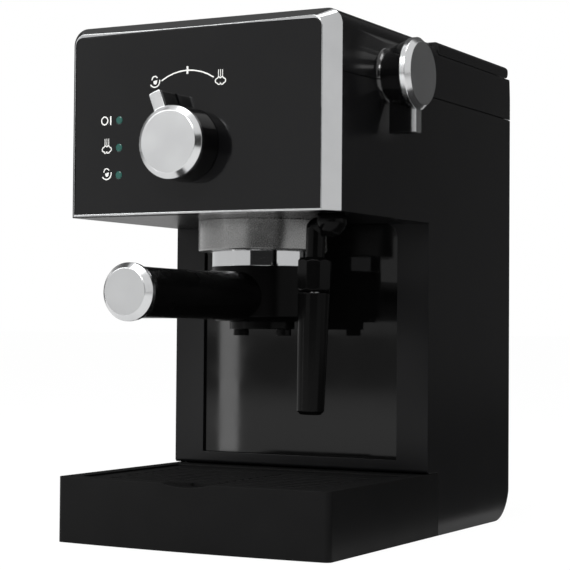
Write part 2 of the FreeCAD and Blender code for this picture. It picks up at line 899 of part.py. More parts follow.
def drip_grate():
    """Slotted grate that lies in the tray's ledge, with a finger scoop at its front edge."""
    high = tray_top - S.grate_sink
    plate = tray_block(S.tray_rim + S.slip, well_back - S.slip, high - S.grate_thick, high, S.well_corner)
    front = tray_front + S.tray_rim + S.grate_border
    rows = int((well_back - S.grate_border - front).value // S.slot_pitch.value)
    slots = []
    for row in range(rows):
        y = front + (row + 0.5) * S.slot_pitch
        for side in (-1, 1):
            middle = side * (S.slot_gap + S.slot_length) / 2
            slots.append(box(span(middle, S.slot_length), span(y, S.slot_width), (0, 2 * tray_top)))
    scoop = cylinder(S.scoop_radius, (0, tray_front + S.tray_rim, 0), 2 * tray_top)
    return cut(plate, scoop, *slots)


# selector on the front

knob_foot = panel_front + S.panel_inset - S.seam


def lever(low, high, reach):
    """Pointer bar on a knob, from its middle out to its square tip."""
    return extrude(rounded(span(0, S.lever_width), (0, reach), S.lever_corner, "far"), low, high)


def selector_turn():
    """The selector's attitude: facing forward, pointer turned to the left of upright."""
    return TO_FRONT * FreeCAD.Rotation(FreeCAD.Vector(0, 0, 1), S.selector_turn.value)


def selector_knob():
    """Selector's black body with its pointer, bored for the shaft."""
    outline = [(0, 0), (S.knob_base, 0), (S.knob_radius, S.knob_height), (0, S.knob_height)]
    body = fuse(revolve(outline, (0, 0, 0)), lever(S.slip, S.knob_height, S.lever_reach))
    bore = cylinder(S.shaft_radius, (0, 0, -S.shaft_bite), 2 * S.shaft_bite)
    return put(cut(body, bore), S.selector_x, knob_foot, selector_z, selector_turn())


def knob_cap(base, height, bevel, face, reach):
    """Bright cap of a knob, with its bevelled rim, its flat face and the plate along the pointer."""
    rim = base + height - bevel
    outline = [(0, base), (S.cap_radius, base), (S.cap_radius, rim), (face, base + height)]
    outline.append((0, base + height))
    return fuse(revolve(outline, (0, 0, 0)), lever(base, rim, reach))


def selector_cap():
    """Bright cap on the selector."""
    cap = knob_cap(S.knob_height, S.cap_height, S.cap_bevel, S.cap_face, S.lever_reach)
    return put(cap, S.selector_x, knob_foot, selector_z, selector_turn())


switch_face = panel_front + S.panel_inset + S.panel_thick + S.slip


def selector_shaft():
    """Shaft from the rotary switch through the panel into the knob."""
    start = knob_foot - S.shaft_bite
    end = switch_face + S.switch_neck_length + S.shaft_bite
    return cylinder(S.shaft_radius, (S.selector_x, start, selector_z), end - start, TO_BACK)


def selector_switch():
    """Rotary switch behind the panel, with the neck that seats against it."""
    face = (S.selector_x, switch_face, selector_z)
    neck = cylinder(S.switch_neck, face, 2 * S.switch_neck_length, TO_BACK)
    start = switch_face + S.switch_neck_length
    case_x = span(S.selector_x, S.switch_width)
    case = box(case_x, (start, start + S.switch_depth), span(selector_z, S.switch_width))
    length = S.switch_neck_length + S.shaft_bite + S.running
    bore = cylinder(S.shaft_radius + S.running, face, length, TO_BACK)
    return cut(fuse(neck, case), bore)


def indicator_light(z):
    """Light guide from the small board to the face of the panel."""
    length = board_face - panel_face(S.light_x) + S.light_proud
    edge = S.light_radius - S.light_proud
    outline = [(0, 0), (S.light_radius, 0), (S.light_radius, length - S.light_proud)]
    outline += [(edge, length), (0, length)]
    return revolve(outline, (S.light_x, board_face, z), TO_FRONT)


def indicator_board():
    """Small board behind the lights."""
    y = (board_face, board_face + S.board_thick)
    return box(span(board_middle, S.board_width), y, span(light_mid, S.board_height))


# steam valve and its knob

steam_split = half + S.flare_height + S.slip


def steam_knob():
    """Steam knob's black body, swelling towards its cap, with its lever hanging down."""
    outline = [(0, 0), (S.steam_base, 0), (S.knob_radius, S.steam_height), (0, S.steam_height)]
    body = fuse(revolve(outline, (0, 0, 0)), lever(S.slip, S.steam_height, S.steam_reach))
    bore = cylinder(S.stem_radius, (0, 0, -S.stem_bite), 2 * S.stem_bite)
    return put(cut(body, bore), steam_split, steam_y, steam_z, LEVER_DOWN)


def steam_knob_cap():
    """Bright cap on the steam knob."""
    face = S.steam_cap_face
    cap = knob_cap(S.steam_height, S.steam_cap_height, S.steam_cap_bevel, face, S.steam_reach)
    return put(cap, steam_split, steam_y, steam_z, LEVER_DOWN)


def steam_valve_stem():
    """Stem from the valve out to the steam knob."""
    start = steam_split + S.stem_bite - S.stem_length
    return cylinder(S.stem_radius, (start, steam_y, steam_z), S.stem_length, TO_RIGHT)


boiler_top_z = head_floor + S.ring_flange + S.boiler_foot + S.flange_thick + S.boiler_height
flange_z = head_floor + S.ring_flange + S.boiler_foot


def steam_valve_body():
    """Valve block that stands on the boiler and takes the stem."""
    x = (S.valve_overlap, S.valve_overlap + S.valve_length)
    block = box(x, span(steam_y, S.valve_width), (boiler_top_z, boiler_top_z + S.valve_height))
    start = steam_split + S.stem_bite - S.stem_length - S.slip
    bore = cylinder(S.stem_radius + S.running, (start, steam_y, steam_z), S.stem_length, TO_RIGHT)
    return cut(block, bore)


# boiler and brew group

def bolt_spots():
    """Places of the bolts round the boiler's flange."""
    reach = S.bolt_circle / math.sqrt(2)
    return [(a * reach, group_y + b * reach) for a in (-1, 1) for b in (-1, 1)]


def bolt_holes():
    """Clearance holes for the boiler's bolts."""
    return [cylinder(S.bolt_radius + S.fit_gap, (x, y, 0), 2 * top) for x, y in bolt_spots()]


def boiler_base():
    """Lower half of the boiler, with the boss that spreads the water."""
    low = head_floor + S.ring_flange
    boss = S.outlet_radius - S.fit_gap
    floor = low + S.boiler_foot / 2
    high = flange_z + S.flange_thick
    outline = [(0, low - S.boss_drop), (boss, low - S.boss_drop), (boss, low), (S.boiler_radius, low)]
    outline += [(S.boiler_radius, flange_z), (S.flange_radius, flange_z), (S.flange_radius, high)]
    outline += [(S.boiler_inner, high), (S.boiler_inner, floor), (0, floor)]
    body = revolve(outline, (0, group_y, 0))
    thread = cylinder(S.shower_screw_radius, (0, group_y, 0), floor - S.running)
    return cut(body, thread, *bolt_holes())


def boiler_top():
    """Upper half of the boiler."""
    low = flange_z + S.flange_thick
    crown = boiler_top_z - S.boiler_crown
    bevel = S.boiler_radius - S.boiler_crown
    outline = [(S.boiler_inner, low), (S.flange_radius, low), (S.flange_radius, low + S.clamp_thick)]
    outline += [(S.boiler_radius, low + S.clamp_thick), (S.boiler_radius, crown), (bevel, boiler_top_z)]
    outline += [(0, boiler_top_z), (0, crown), (S.boiler_inner, crown)]
    return cut(revolve(outline, (0, group_y, 0)), *bolt_holes())


def boiler_bolts():
    """Bolts that clamp the two halves of the boiler."""
    grip = S.flange_thick + S.clamp_thick
    head = S.bolt_head_height
    bolts = []
    for x, y in bolt_spots():
        outline = [(0, -head), (S.bolt_head, -head), (S.bolt_head, 0), (S.bolt_radius, 0)]
        outline += [(S.bolt_radius, grip), (S.bolt_head, grip)]
        outline += [(S.bolt_head, grip + head), (0, grip + head)]
        bolts.append(revolve(outline, (x, y, flange_z)))
    return group(*bolts)


def heating_element():
    """Heating ring clasped round the boiler, with its two connection pins."""
    z = flange_z + S.flange_thick + S.clamp_thick + S.element_rise
    orbit = S.boiler_radius + S.element_radius + S.running
    ring = primitive("Torus", (0, group_y, z), None, Radius1=orbit, Radius2=S.element_radius)
    pins = []
    for side in (-1, 1):
        at = (side * S.element_pin, group_y + orbit, z)
        pins.append(cylinder(S.element_radius / 2, at, S.element_pin, TO_BACK))
    return fuse(ring, *pins)


def thermostats():
    """Two round thermostats on top of the boiler."""
    radius = S.thermostat_radius
    spots = [(-2 * radius, group_y, boiler_top_z), (-radius, group_y - 2 * radius, boiler_top_z)]
    return group(*[cylinder(radius, at, S.thermostat_height) for at in spots])


ring_low = head_floor - S.ring_height
groove_low = ring_low + S.lip_depth


def group_ring():
    """Metal ring that the filter holder locks into, with its groove and two entry slots."""
    groove_high = groove_low + S.groove_height
    high = head_floor + S.ring_flange
    outline = [(S.lip_radius, ring_low), (S.ring_radius - S.ring_bevel, ring_low)]
    outline += [(S.ring_radius, ring_low + S.ring_bevel), (S.ring_radius, head_floor)]
    outline += [(S.ring_neck, head_floor), (S.ring_neck, high)]
    outline += [(S.outlet_radius, high), (S.outlet_radius, head_floor)]
    outline += [(S.lip_radius, head_floor), (S.lip_radius, groove_high), (S.groove_radius, groove_high)]
    outline += [(S.groove_radius, groove_low), (S.lip_radius, groove_low)]
    reach = S.lug_reach + S.seam
    wide = S.lug_width / 2 + 2 * S.seam
    entry = extrude(rounded((-reach, reach), (-wide, wide), S.seam), ring_low - S.seam, groove_low + S.seam)
    unlock = FreeCAD.Rotation(FreeCAD.Vector(0, 0, 1), -S.unlock_turn.value)
    put(entry, 0, group_y, ring_low - S.seam, unlock)
    return cut(revolve(outline, (0, group_y, 0)), entry)


def group_gasket():
    """Rubber ring that the filter holder seals against."""
    low = head_floor - S.gasket_thick
    outline = [(S.outlet_radius, low), (S.lip_radius, low)]
    outline += [(S.lip_radius, head_floor), (S.outlet_radius, head_floor)]
    return revolve(outline, (0, group_y, 0))


boss_z = head_floor + S.ring_flange - S.boss_drop


def shower_screen():
    """Perforated disc that spreads the water over the coffee."""
    disc = cylinder(S.screen_radius, (0, group_y, boss_z - S.screen_thick), S.screen_thick)
    return cut(disc, cylinder(S.shower_screw_radius + S.fit_gap, (0, group_y, 0), top))


def shower_screw():
    """Screw that holds the shower screen."""
    low = boss_z - S.screen_thick
    reach = S.screen_thick + S.boss_drop
    head = S.shower_screw_head
    shank = S.shower_screw_radius
    outline = [(0, -S.shower_head_height), (head, -S.shower_head_height), (head, 0)]
    outline += [(shank, 0), (shank, reach), (0, reach)]
    return revolve(outline, (0, group_y, low))


# filter holder

bowl_top = head_floor - S.gasket_thick - S.seal_gap - S.basket_lip
ledge_z = bowl_top + S.basket_lip - S.bowl_ring
collar_low = ledge_z - S.collar_height
bowl_low = collar_low + S.collar_floor


def portafilter_bowl():
    """Metal bowl of the filter holder with its two locking lugs."""
    outline = [(S.bowl_outlet, bowl_low), (S.bowl_skirt, bowl_low), (S.bowl_skirt, ledge_z)]
    outline += [(S.bowl_radius, ledge_z), (S.bowl_radius, bowl_top), (S.bowl_bore, bowl_top)]
    outline += [(S.bowl_bore, bowl_low + S.bowl_floor), (S.bowl_outlet, bowl_low + S.bowl_floor)]
    bowl = revolve(outline, (0, group_y, 0))
    z = (groove_low, groove_low + S.lug_thick)
    bar = box((-2 * half, 2 * half), span(group_y, S.lug_width), z)
    reach = cylinder(S.lug_reach, (0, group_y, groove_low), S.lug_thick)
    core = cylinder((S.bowl_bore + S.bowl_radius) / 2, (0, group_y, 0), top)
    return fuse(bowl, cut(common(bar, reach), core))


def filter_basket():
    """Steel basket that holds the ground coffee and hangs in the bowl by its flange."""
    outside = S.bowl_bore - S.slip
    inner = outside - S.basket_wall
    low = bowl_top - S.basket_depth
    rim = bowl_top + S.basket_lip
    outline = [(0, low), (outside, low), (outside, bowl_top), (S.basket_flange, bowl_top)]
    outline += [(S.basket_flange, rim), (inner, rim)]
    outline += [(inner, low + S.basket_wall), (0, low + S.basket_wall)]
    return revolve(outline, (0, group_y, 0))


def portafilter_body():
    """Black collar round the bowl, bored for the spout and the handle's stud."""
    opening = S.spout_neck + S.fit_gap
    bevel = S.collar_bevel
    outline = [(opening, collar_low), (S.collar_radius - bevel, collar_low)]
    outline += [(S.collar_radius, collar_low + bevel), (S.collar_radius, ledge_z)]
    outline += [(S.bowl_skirt, ledge_z), (S.bowl_skirt, bowl_low), (opening, bowl_low)]
    stud = cylinder(S.stud_radius, (0, group_y, handle_z), S.handle_length, TO_FRONT)
    return cut(revolve(outline, (0, group_y, 0)), stud)


def portafilter_handle():
    """Handle that runs straight forward, a little slimmer at its waist, bored for the stud."""
    outline = [(0, 0), (S.handle_root, 0), (S.handle_root, S.handle_straight, S.handle_waist, "hollow")]
    outline += [(S.handle_tip, S.handle_long), (S.handle_flare, S.handle_length), (0, S.handle_length)]
    grip = revolve(outline, (0, group_y, handle_z), TO_FRONT)
    collar = cylinder(S.collar_radius, (0, group_y, 0), top)
    stud = cylinder(S.stud_radius, (0, group_y, handle_z), S.bowl_skirt + S.stud_length, TO_FRONT)
    return cut(grip, collar, stud)


def handle_stud():
    """Threaded stud between the collar and the handle."""
    return cylinder(S.stud_radius, (0, group_y - S.bowl_skirt, handle_z), S.stud_length, TO_FRONT)


def handle_end_cap():
    """Bright cap on the end of the handle."""
    outline = [(0, 0), (S.end_radius, 0), (S.end_radius, S.end_band)]
    outline += [(S.end_face, S.end_length), (0, S.end_length)]
    return revolve(outline, (0, group_y - S.handle_length, handle_z), TO_FRONT)


def twin_spout():
    """Spout under the filter holder that splits the coffee over two cups."""
    low = collar_low - S.spout_thick
    disc = cylinder(S.spout_radius, (0, group_y, low), S.spout_thick)
    neck = cylinder(S.spout_neck, (0, group_y, low), S.spout_thick + S.collar_floor)
    nozzles = []
    bores = [cylinder(S.bowl_outlet, (0, group_y, low + S.spout_thick / 2), 2 * S.collar_height)]
    for side in (-1, 1):
        mouth = (side * S.spout_spread, group_y, low - S.nozzle_length)
        nozzles.append(cylinder(S.nozzle_radius, mouth, S.nozzle_length + S.spout_thick))
        bores.append(cylinder(S.nozzle_bore, mouth, S.nozzle_length + S.spout_thick / 2))
    across = (-S.spout_spread, group_y, low + S.spout_thick / 2)
    bores.append(cylinder(S.nozzle_bore / 2, across, 2 * S.spout_spread, TO_RIGHT))
    return cut(fuse(disc, neck, *nozzles), *bores)


# steam wand

ball_x = half - S.ball_inset
ball_y = head_front + S.ball_behind
knuckle_x = ball_x - S.knuckle_across
knuckle_y = ball_y - S.knuckle_ahead
ball_z = head_floor - S.ball_drop
knuckle_z = head_floor - S.knuckle_drop
WAND_TURN = FreeCAD.Rotation(FreeCAD.Vector(0, 1, 0), S.wand_tilt.value)


def on_wand(item):
    """Hang a piece drawn about the wand's own axis from the knuckle."""
    return put(item, knuckle_x, knuckle_y, knuckle_z, WAND_TURN)


def wand_elbow():
    """Ball in the head's underside, with the short arm and the leg that carry the wand."""
    across = knuckle_x - ball_x
    along = knuckle_y - ball_y
    down = S.ball_drop - S.elbow_drop
    run = FreeCAD.Vector(across.value, along.value, down.value)
    lean = FreeCAD.Rotation(FreeCAD.Vector(0, 0, 1), run)
    length = root(across * across + along * along + down * down)
    at = (ball_x, ball_y, ball_z)
    arm = cone(S.neck_radius, S.knuckle_radius, at, length, lean)
    rise = S.knuckle_drop - S.elbow_drop
    leg = cylinder(S.knuckle_radius, (0, 0, -S.knuckle_length), S.knuckle_length + rise)
    bend = on_wand(fuse(leg, ball(S.knuckle_radius, (0, 0, rise))))
    return fuse(ball(S.ball_radius, at), arm, bend)


def wand_socket():
    """Socket above the underplate that holds the wand's ball."""
    x = span(ball_x, S.socket_width)
    y = span(ball_y, S.socket_width)
    block = box(x, y, (plate_top, plate_top + S.socket_height))
    return cut(block, ball(S.ball_radius + S.slip, (ball_x, ball_y, ball_z)))


grip_low = -S.knuckle_length - S.grip_length
sleeve_low = grip_low - S.seam - S.sleeve_length


def steam_tube():
    """Steel tube from the knuckle through the grip into the froth sleeve."""
    low = sleeve_low + S.tube_end
    return on_wand(group(cylinder(S.tube_radius, (0, 0, low), -S.knuckle_length - low)))


def wand_grip():
    """Faceted grip that keeps fingers off the hot tube."""
    length = S.grip_length
    prism = primitive("Prism", (0, 0, grip_low), None, Circumradius=S.grip_radius, Height=length)
    prism.Polygon = 8
    bevel = S.grip_bevel
    outline = [(0, 0), (S.grip_radius - bevel, 0), (S.grip_radius, bevel), (S.grip_radius, length - bevel)]
    outline += [(S.grip_radius - bevel, length), (0, length)]
    block = common(prism, revolve(outline, (0, 0, grip_low)))
    return on_wand(cut(block, cylinder(S.tube_radius, (0, 0, grip_low), length)))


def froth_sleeve():
    """Froth sleeve that slides off the tube for cleaning."""
    bore = S.tube_radius + S.running
    nose = S.sleeve_nose
    floor = S.sleeve_floor
    long = S.sleeve_length
    outline = [(S.sleeve_hole, 0), (S.sleeve_tip - nose, 0), (S.sleeve_tip, nose), (S.sleeve_top, long)]
    outline += [(bore, long), (bore, floor), (S.sleeve_hole, floor)]
    return on_wand(group(revolve(outline, (0, 0, sleeve_low))))


# water tank, its lid and its seat

lid_low = lid_seam + S.slip
barrel = (top - lid_low) / 2
hinge_z = lid_low + barrel
tank_low = lid_seam - S.slip * 2 - S.tank_height


def ear_spots():
    """Middles of the two hinge ears."""
    return [side * S.ear_x for side in (-1, 1)]


def tank_lid():
    """Lid over the tank, with a round back edge that turns about the hinge pins."""
    outline = [(step_y + S.seam, lid_low), (hinge_y, lid_low, barrel)]
    outline += [(hinge_y + barrel, hinge_z, barrel), (hinge_y, top), (step_y + S.seam, top)]
    slab = side_block(outline, S.body_width, S.lid_round)
    gaps = []
    for x in ear_spots():
        room = (hinge_y - 2 * barrel, 2 * rear)
        gaps.append(box(span(x, S.ear_width + 2 * S.seam), room, (lid_seam, 2 * top)))
        start = (x - S.pin_length / 2, hinge_y, hinge_z)
        gaps.append(cylinder(S.pin_radius + S.running, start, S.pin_length, TO_RIGHT))
    return cut(slab, *gaps)


def lid_hinge_pins():
    """Two steel pins through the tank's ears into the lid."""
    length = S.pin_length - S.seam
    pins = []
    for x in ear_spots():
        pins.append(cylinder(S.pin_radius, (x - length / 2, hinge_y, hinge_z), length, TO_RIGHT))
    return group(*pins)


def water_tank():
    """Open water tank with the two ears that carry the lid."""
    high = tank_low + S.tank_height
    thin = S.tank_wall
    x = span(0, S.tank_width)
    y = (tank_front, tank_back)
    outer = extrude(rounded(x, y, S.tank_corner), tank_low, high)
    inner_x = (x[0] + thin, x[1] - thin)
    inner_y = (y[0] + thin, y[1] - thin)
    inner = extrude(rounded(inner_x, inner_y, S.tank_corner - thin), tank_low + thin, 2 * top)
    ears = []
    bores = [cylinder(S.valve_radius, (S.valve_x, valve_y, 0), top)]
    for x in ear_spots():
        wide = span(x, S.ear_width)
        ears.append(box(wide, (tank_back - thin, hinge_y + S.ear_radius), (high - S.ear_root, hinge_z)))
        start = (wide[0], hinge_y, hinge_z)
        ears.append(cylinder(S.ear_radius, start, S.ear_width, TO_RIGHT))
        bores.append(cylinder(S.pin_radius, start, S.ear_width, TO_RIGHT))
    return cut(fuse(cut(outer, inner), *ears), *bores)


def tank_valve():
    """Spring valve in the tank's floor that opens in its socket."""
    floor = tank_low + S.tank_wall
    low = tank_low - S.valve_drop
    outline = [(0, low), (S.valve_radius, low), (S.valve_radius, floor)]
    outline += [(S.valve_flange, floor), (S.valve_flange, floor + S.valve_flange_thick)]
    outline += [(0, floor + S.valve_flange_thick)]
    return revolve(outline, (S.valve_x, valve_y, 0))


def tank_seat():
    """Shelf across the column that the tank stands on."""
    z = (tank_low - S.seat_thick, tank_low)
    shelf = box((-inside, inside), (tank_front - S.seat_lead, inside_back), z)
    return cut(shelf, cylinder(S.socket_bore, (S.valve_x, valve_y, 0), top))


def tank_socket():
    """Socket under the shelf that takes the tank's valve and feeds the hose."""
    high = tank_low - S.seat_thick
    low = high - S.socket_depth
    outer = S.socket_bore + S.socket_wall
    outline = [(0, low - S.spigot_length), (S.spigot_radius, low - S.spigot_length), (S.spigot_radius, low)]
    outline += [(outer, low), (outer, high), (S.socket_bore, high), (S.socket_bore, low + S.socket_wall)]
    outline += [(0, low + S.socket_wall)]
    return revolve(outline, (S.valve_x, valve_y, 0))


# pump and pipes

pump_z = notch_z + S.wall + S.pump_over


def pump_body():
    """Vibrating pump, lying across the column."""
    start = S.pump_x - S.pump_length / 2
    return cylinder(S.pump_radius, (start, valve_y, pump_z), S.pump_length, TO_RIGHT)


def pump_coil():
    """Coil block round the pump."""
    block = box(span(S.pump_x, S.coil_width), span(valve_y, S.coil_size), span(pump_z, S.coil_size))
    start = S.pump_x - S.pump_length / 2
    return cut(block, cylinder(S.pump_radius, (start, valve_y, pump_z), S.pump_length, TO_RIGHT))


def pump_mounts():
    """Two rubber blocks between the pump and the base plate."""
    blocks = []
    for x in span(S.pump_x, S.mount_spread):
        z = (base_top, pump_z - S.coil_size / 2)
        blocks.append(box(span(x, S.mount_width), span(valve_y, S.coil_size), z))
    return group(*blocks)


def suction_hose():
    """Hose from the tank's socket down to the pump."""
    high = tank_low - S.seat_thick - S.socket_depth - S.spigot_length
    end = S.pump_x + S.pump_length / 2
    route = [(S.valve_x, valve_y, high), (S.valve_x, valve_y, pump_z), (end, valve_y, pump_z)]
    return pipe(route, S.hose_radius, S.hose_bend, S.hose_bore)


def pressure_pipe():
    """Pipe from the pump, up behind the gloss panel and forward to the boiler."""
    start = S.pump_x - S.pump_length / 2
    high = flange_z + S.flange_thick + S.feed_rise
    route = [(start, valve_y, pump_z), (pipe_x, valve_y, pump_z), (pipe_x, pipe_y, pump_z)]
    route += [(pipe_x, pipe_y, high), (pipe_x, group_y, high), (-S.boiler_radius, group_y, high)]
    return pipe(route, S.pipe_radius, S.pipe_bend)


def steam_pipe():
    """Pipe from the steam valve down to the wand's socket."""
    x = S.valve_overlap + S.valve_length - S.valve_width / 2
    turn = boiler_top_z - S.steam_drop
    low = plate_top + S.socket_height
    route = [(x, steam_y, boiler_top_z), (x, steam_y, turn)]
    route += [(ball_x, ball_y, turn), (ball_x, ball_y, low)]
    return pipe(route, S.pipe_radius, S.pipe_bend)


# electrics

def control_board():
    """Control board behind the gloss panel."""
    y = column_inside + S.control_gap
    z = (S.control_foot, S.control_foot + S.control_height)
    return box(span(0, S.control_width), (y, y + S.board_thick), z)


rocker_y = rear - S.rocker_depth


def power_rocker():
    """Power switch's rocker with the stubs that it tips on."""
    tall = S.rocker_radius
    deep = S.rocker_depth
    outline = [(-S.rocker_heel, -tall), (deep - S.rocker_fall, -tall), (deep, 0)]
    outline += [(deep + S.rocker_rise, tall), (-S.rocker_heel, tall)]
    wide = S.rocker_width / 2
    wedge = extrude(outline, -wide, wide, "right")
    drum = cylinder(tall, (-wide, 0, 0), S.rocker_width, TO_RIGHT)
    reach = wide + S.slip + S.trunnion_length
    stubs = cylinder(S.trunnion_radius, (-reach, 0, 0), 2 * reach, TO_RIGHT)
    return put(fuse(common(wedge, drum), stubs), S.rocker_x, rocker_y, S.rocker_z)


def rocker_frame():
    """Frame of the power switch, let into the back of the casing."""
    body = box(span(S.rocker_x, frame_width), (rear - S.frame_depth, rear), span(S.rocker_z, frame_height))
    flange_x = span(S.rocker_x, frame_width + 2 * S.frame_wall)
    flange_z = span(S.rocker_z, frame_height + 2 * S.frame_wall)
    flange = box(flange_x, (rear, rear + S.frame_flange), flange_z)
    room_x = span(S.rocker_x, S.rocker_width + 2 * S.slip)
    room_z = span(S.rocker_z, 2 * (S.rocker_radius + S.slip))
    room = box(room_x, (rear - S.frame_depth + S.frame_wall, 2 * rear), room_z)
    reach = S.rocker_width / 2 + S.slip + S.trunnion_length + S.running
    start = (S.rocker_x - reach, rocker_y, S.rocker_z)
    holes = cylinder(S.trunnion_radius + S.running, start, 2 * reach, TO_RIGHT)
    return cut(fuse(body, flange), room, holes)


def cord_gland():
    """Gland for the mains lead, clamped through the back of the casing."""
    outline = [(S.gland_bore, -S.wall - S.gland_nut), (S.gland_flange, -S.wall - S.gland_nut)]
    outline += [(S.gland_flange, -S.wall), (S.gland_neck, -S.wall), (S.gland_neck, 0), (S.gland_flange, 0)]
    outline += [(S.gland_flange - 1, S.gland_proud), (S.gland_bore, S.gland_proud)]
    return revolve(outline, (S.gland_x, rear, S.gland_z), TO_BACK)


MAKERS = [
    main_housing, top_cover, front_bezel, control_panel, head_underplate, back_panel, base_plate, feet,
    base_screws, drip_tray, drip_grate, selector_knob, selector_cap, selector_shaft, selector_switch,
    indicator_board, steam_knob, steam_knob_cap, steam_valve_stem, steam_valve_body, boiler_base,
    boiler_top, boiler_bolts, heating_element, thermostats, group_ring, group_gasket, shower_screen,
    shower_screw,
    portafilter_bowl, filter_basket, portafilter_body, portafilter_handle, handle_stud, handle_end_cap,
    twin_spout, wand_elbow, wand_socket, steam_tube, wand_grip, froth_sleeve, tank_lid, lid_hinge_pins,
    water_tank, tank_valve, tank_seat, tank_socket, pump_body, pump_coil, pump_mounts, suction_hose,
    pressure_pipe, steam_pipe, control_board, power_rocker, rocker_frame, cord_gland,
]
pieces = {make.__name__: make() for make in MAKERS}
for name, level in zip(("power_light", "steam_light", "coffee_light"), light_levels()):
    pieces[name] = indicator_light(level)
for name, item in pieces.items():
    item.Label = name
doc.recompute()

for item in doc.Objects:
    if "Invalid" in item.State or "Error" in item.State:
        raise RuntimeError(f"{item.Label} ({item.Name}) failed: {item.State}")
for name, item in pieces.items():
    if item.Shape.isNull() or not item.Shape.isValid() or not item.Shape.Solids:
        raise RuntimeError(f"{name} has no sound shape")

os.makedirs("parts", exist_ok=True)
for name, item in pieces.items():
    item.Shape.exportStep(f"parts/{name}.step")
print(f"{len(pieces)} sub-parts")
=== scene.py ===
"""Looks, printed symbols, light and camera for the espresso machine. Lengths are in metres."""
import json
import math

import bmesh
import bpy
from mathutils import Matrix, Vector


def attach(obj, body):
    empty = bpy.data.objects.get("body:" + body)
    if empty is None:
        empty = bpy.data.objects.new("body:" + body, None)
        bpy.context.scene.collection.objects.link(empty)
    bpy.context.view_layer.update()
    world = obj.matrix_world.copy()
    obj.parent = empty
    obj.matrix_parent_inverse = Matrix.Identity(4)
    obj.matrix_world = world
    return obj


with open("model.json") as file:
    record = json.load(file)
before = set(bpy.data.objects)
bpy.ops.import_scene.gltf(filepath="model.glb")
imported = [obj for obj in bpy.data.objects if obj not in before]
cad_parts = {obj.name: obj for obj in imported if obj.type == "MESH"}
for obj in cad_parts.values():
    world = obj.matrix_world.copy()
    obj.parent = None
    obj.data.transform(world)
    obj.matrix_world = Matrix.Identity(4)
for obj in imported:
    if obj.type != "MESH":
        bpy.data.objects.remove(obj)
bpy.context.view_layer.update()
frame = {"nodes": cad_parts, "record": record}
MM = 0.001


# finishes

class Value:
    """One output of a shader node; adding it to a number or multiplying by one adds a Math node."""

    def __init__(self, finish, socket):
        self.finish = finish
        self.socket = socket

    def __radd__(self, number):
        return self.finish.node("ShaderNodeMath", {"operation": "ADD"}, {0: number, 1: self})

    def __rmul__(self, number):
        return self.finish.node("ShaderNodeMath", {"operation": "MULTIPLY"}, {0: number, 1: self})


class Finish:
    """A material, and the one way that nodes are added to it."""

    def __init__(self, name):
        self.material = bpy.data.materials.new(name)
        self.material.use_nodes = True
        self.tree = self.material.node_tree
        self.shader = self.tree.nodes["Principled BSDF"]
        self.place = self.node("ShaderNodeTexCoord", output="Object")

    def node(self, kind, settings=None, inputs=None, output=0):
        """Add a node with its settings and inputs, and give one of its outputs."""
        node = self.tree.nodes.new(kind)
        for name, setting in (settings or {}).items():
            setattr(node, name, setting)
        for name, value in (inputs or {}).items():
            self.feed(node.inputs[name], value)
        return Value(self, node.outputs[output])

    def feed(self, socket, value):
        """Link another node's output to a socket, or set a plain value on it."""
        if isinstance(value, Value):
            self.tree.links.new(value.socket, socket)
        else:
            socket.default_value = value

    def set(self, **inputs):
        """Give the shader its values; underscores stand for the spaces in a socket's name."""
        for name, value in inputs.items():
            self.feed(self.shader.inputs[name.replace("_", " ")], value)

    def noise(self, scale, detail, stretch=(1, 1, 1)):
        """Noise from 0 to 1 over the piece, in cycles per metre."""
        spread = self.node("ShaderNodeMapping", None, {"Vector": self.place, "Scale": stretch})
        return self.node("ShaderNodeTexNoise", None, {"Vector": spread, "Scale": scale, "Detail": detail})

    def blend(self, amount, low, high):
        """Colour between two, by an amount from 0 to 1."""
        inputs = {0: amount, 6: (*low, 1), 7: (*high, 1)}
        return self.node("ShaderNodeMix", {"data_type": "RGBA"}, inputs, output=2)

    def relief(self, height, strength, depth, edge):
        """Surface relief over softly rounded edges."""
        soft = self.node("ShaderNodeBevel", {"samples": 6}, {"Radius": edge})
        inputs = {"Height": height, "Strength": strength, "Distance": depth, "Normal": soft}
        return self.node("ShaderNodeBump", None, inputs)

    def polish(self, start, fade, roughness):
        """Clear polish on all that lies beyond a place across the machine."""
        across = self.node("ShaderNodeSeparateXYZ", None, {"Vector": self.place})
        limits = {"Value": across, "From Min": start, "From Max": start + fade}
        self.set(Coat_Weight=self.node("ShaderNodeMapRange", None, limits), Coat_Roughness=roughness)


def plastic(name, low, high, roughness, grain, specular, edge, polished_from=None):
    """Moulded black plastic: faint cloudiness, fine grain and soft edges."""
    finish = Finish(name)
    cloud = finish.noise(scale=38, detail=3)
    fine = finish.noise(scale=2600, detail=2)
    finish.set(Base_Color=finish.blend(cloud, low, high))
    finish.set(Roughness=roughness - 0.05 + 0.1 * cloud)
    finish.set(Normal=finish.relief(fine, strength=grain, depth=0.06 * MM, edge=edge))
    finish.set(Specular_IOR_Level=specular)
    if polished_from is not None:
        finish.polish(polished_from, fade=0.8 * MM, roughness=0.1)
    return finish.material


def bright_metal(name, low, high, roughness, spread, edge):
    """Plated or polished metal with faint handling marks."""
    finish = Finish(name)
    cloud = finish.noise(scale=55, detail=3)
    fine = finish.noise(scale=1400, detail=2)
    finish.set(Metallic=1.0, Base_Color=finish.blend(cloud, low, high))
    finish.set(Roughness=roughness + spread * cloud)
    finish.set(Normal=finish.relief(fine, strength=0.03, depth=0.04 * MM, edge=edge))
    return finish.material


